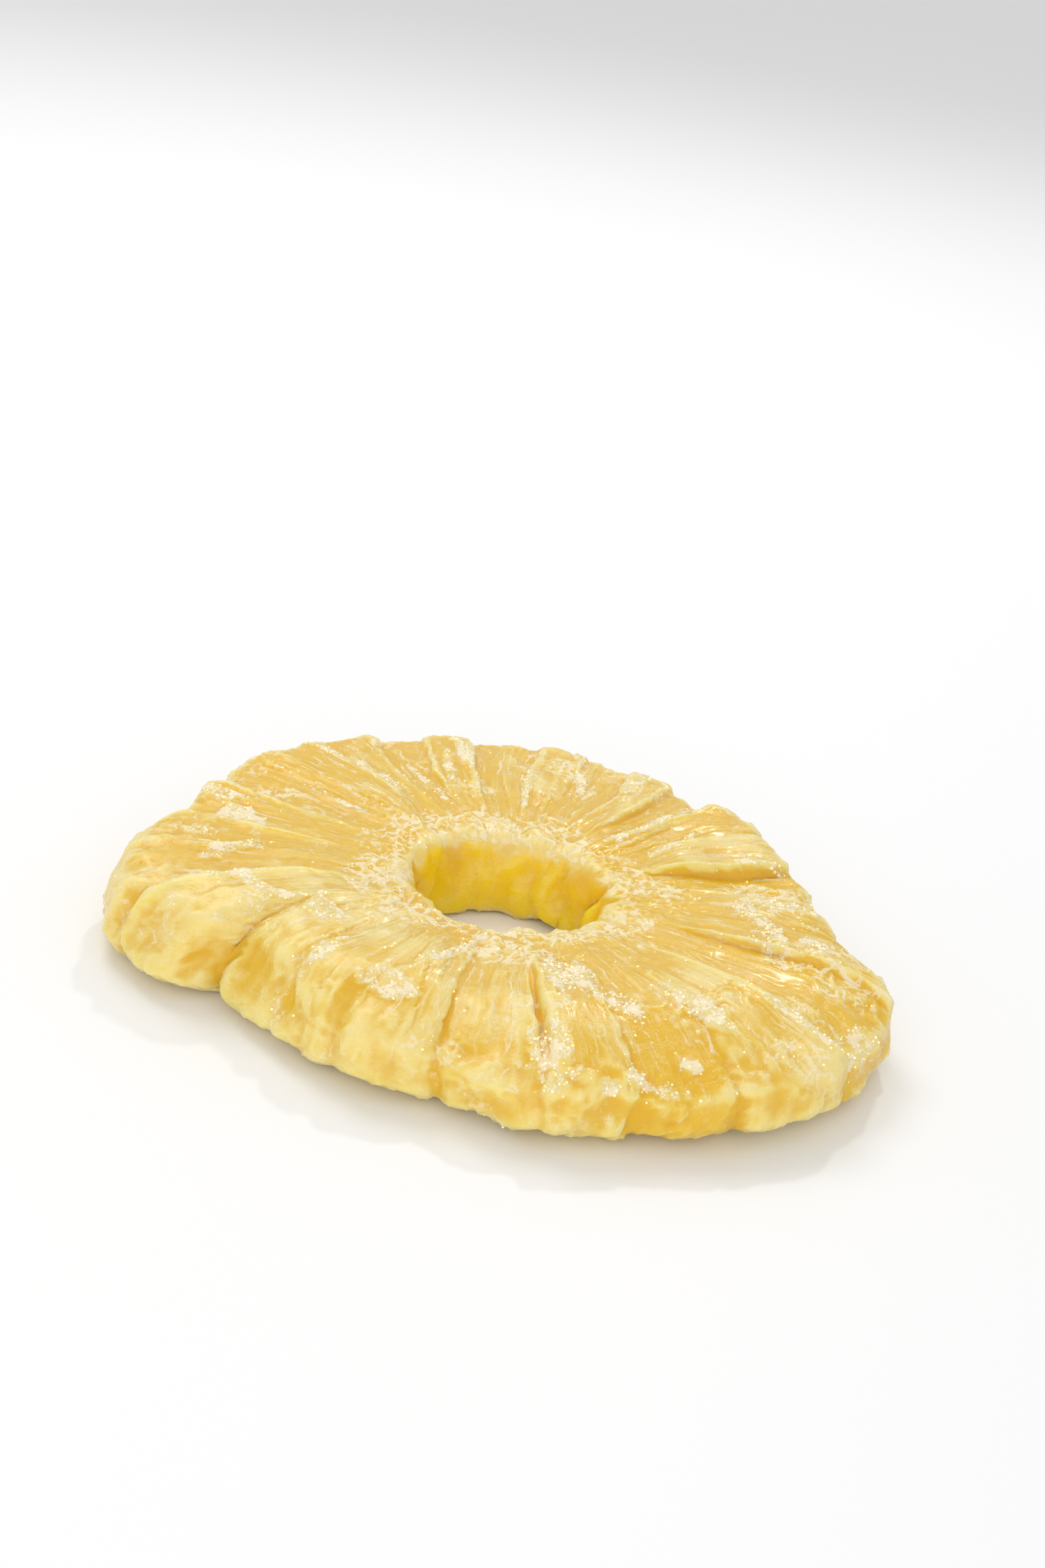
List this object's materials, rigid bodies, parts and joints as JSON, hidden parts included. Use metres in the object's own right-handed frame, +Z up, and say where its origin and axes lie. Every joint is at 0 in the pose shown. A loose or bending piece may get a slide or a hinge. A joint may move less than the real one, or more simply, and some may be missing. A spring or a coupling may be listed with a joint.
{
  "type": "candied pineapple ring",
  "caption": "Candied pineapple ring: flat slice of wedge-shaped fibre plates round an open core hole, lying with its better face up.",
  "frame": {"origin": "bottom centre of the ring's bounding box, on the surface that it lies on", "axes": "+Z up through the core hole, +X to the right and +Y away from the viewer in the picture"},
  "size_m": [0.0838, 0.0752, 0.011],
  "materials": {
    "flesh": "translucent candied fruit, satin, with a dull pale sugar crust on ridges"
  },
  "bodies": {
    "root": {"ring": "flesh"}
  },
  "joints": []
}
